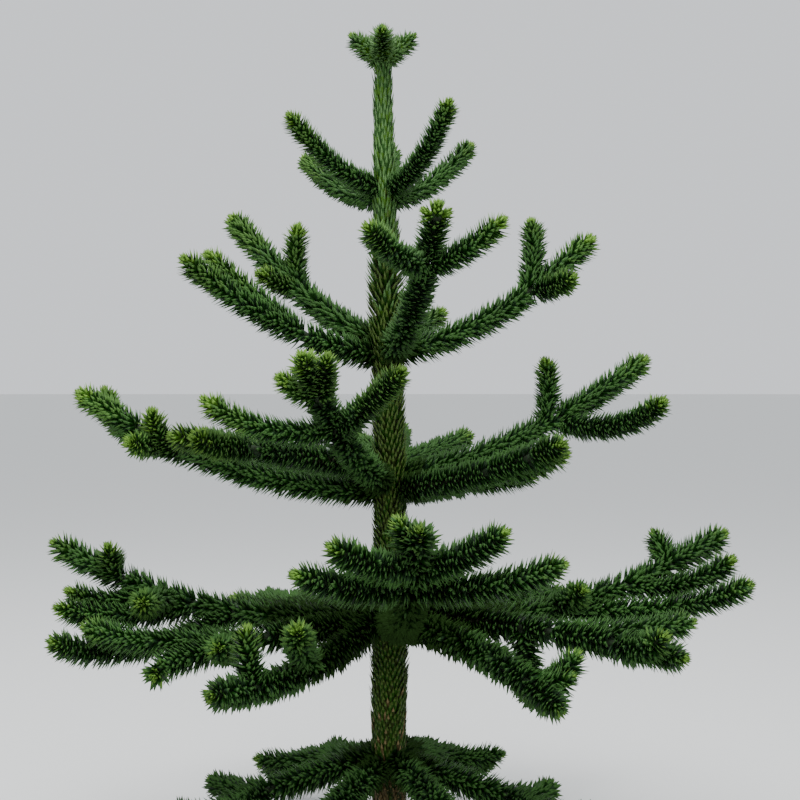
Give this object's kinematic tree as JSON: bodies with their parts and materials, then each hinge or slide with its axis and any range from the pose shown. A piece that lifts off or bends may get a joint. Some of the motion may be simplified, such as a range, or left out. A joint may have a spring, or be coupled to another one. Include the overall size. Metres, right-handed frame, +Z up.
{
  "type": "monkey puzzle tree",
  "caption": "Young monkey puzzle tree: straight leaf-clad trunk with rings of arched boughs, each carrying stiff, spiky, upturned foliage, under a small crown.",
  "frame": {"origin": "middle of the flat cut under the trunk, at ground level", "axes": "+Z up along the trunk, +X to the viewer's right, -Y towards the viewer"},
  "size_m": [1.7612, 1.5069, 2.0487],
  "materials": {
    "bark": "rough brown-olive bark under old, dull leaf bases, tan at the foot",
    "foliage": "stiff leathery leaves, very dark green with a bluish sheen",
    "young_foliage": "stiff leathery leaves, mid green",
    "fresh_foliage": "fresh leathery leaves, yellow-green"
  },
  "bodies": {
    "root": {"trunk": "bark", "top_left_foliage": "young_foliage", "top_back_left_foliage": "young_foliage", "top_front_right_foliage": "young_foliage", "top_right_foliage": "young_foliage", "top_back_foliage": "young_foliage", "upper_left_foliage": "foliage", "upper_back_left_foliage": "foliage", "upper_front_foliage": "foliage", "upper_right_foliage": "foliage", "upper_back_foliage": "foliage", "middle_left_bough": "bark", "middle_left_foliage": "foliage", "middle_near_left_bough": "bark", "middle_near_left_foliage": "foliage", "middle_front_left_bough": "bark", "middle_front_left_foliage": "foliage", "middle_front_right_bough": "bark", "middle_front_right_foliage": "foliage", "middle_right_bough": "bark", "middle_right_foliage": "foliage", "middle_back_right_bough": "bark", "middle_back_right_foliage": "foliage", "middle_back_bough": "bark", "middle_back_foliage": "foliage", "middle_back_left_bough": "bark", "middle_back_left_foliage": "foliage", "lower_left_bough": "bark", "lower_left_foliage": "foliage", "lower_near_left_bough": "bark", "lower_near_left_foliage": "foliage", "lower_front_left_bough": "bark", "lower_front_left_foliage": "foliage", "lower_front_bough": "bark", "lower_front_foliage": "foliage", "lower_low_front_right_bough": "bark", "lower_low_front_right_foliage": "foliage", "lower_front_right_bough": "bark", "lower_front_right_foliage": "foliage", "lower_right_bough": "bark", "lower_right_foliage": "foliage", "lower_back_right_bough": "bark", "lower_back_right_foliage": "foliage", "lower_back_left_bough": "bark", "lower_back_left_foliage": "foliage", "bottom_left_bough": "bark", "bottom_left_foliage": "foliage", "bottom_front_left_bough": "bark", "bottom_front_left_foliage": "foliage", "bottom_front_right_bough": "bark", "bottom_front_right_foliage": "foliage", "bottom_right_bough": "bark", "bottom_right_foliage": "foliage", "bottom_back_right_bough": "bark", "bottom_back_right_foliage": "foliage", "bottom_back_left_bough": "bark", "bottom_back_left_foliage": "foliage", "crown_foliage": "fresh_foliage"}
  },
  "joints": []
}
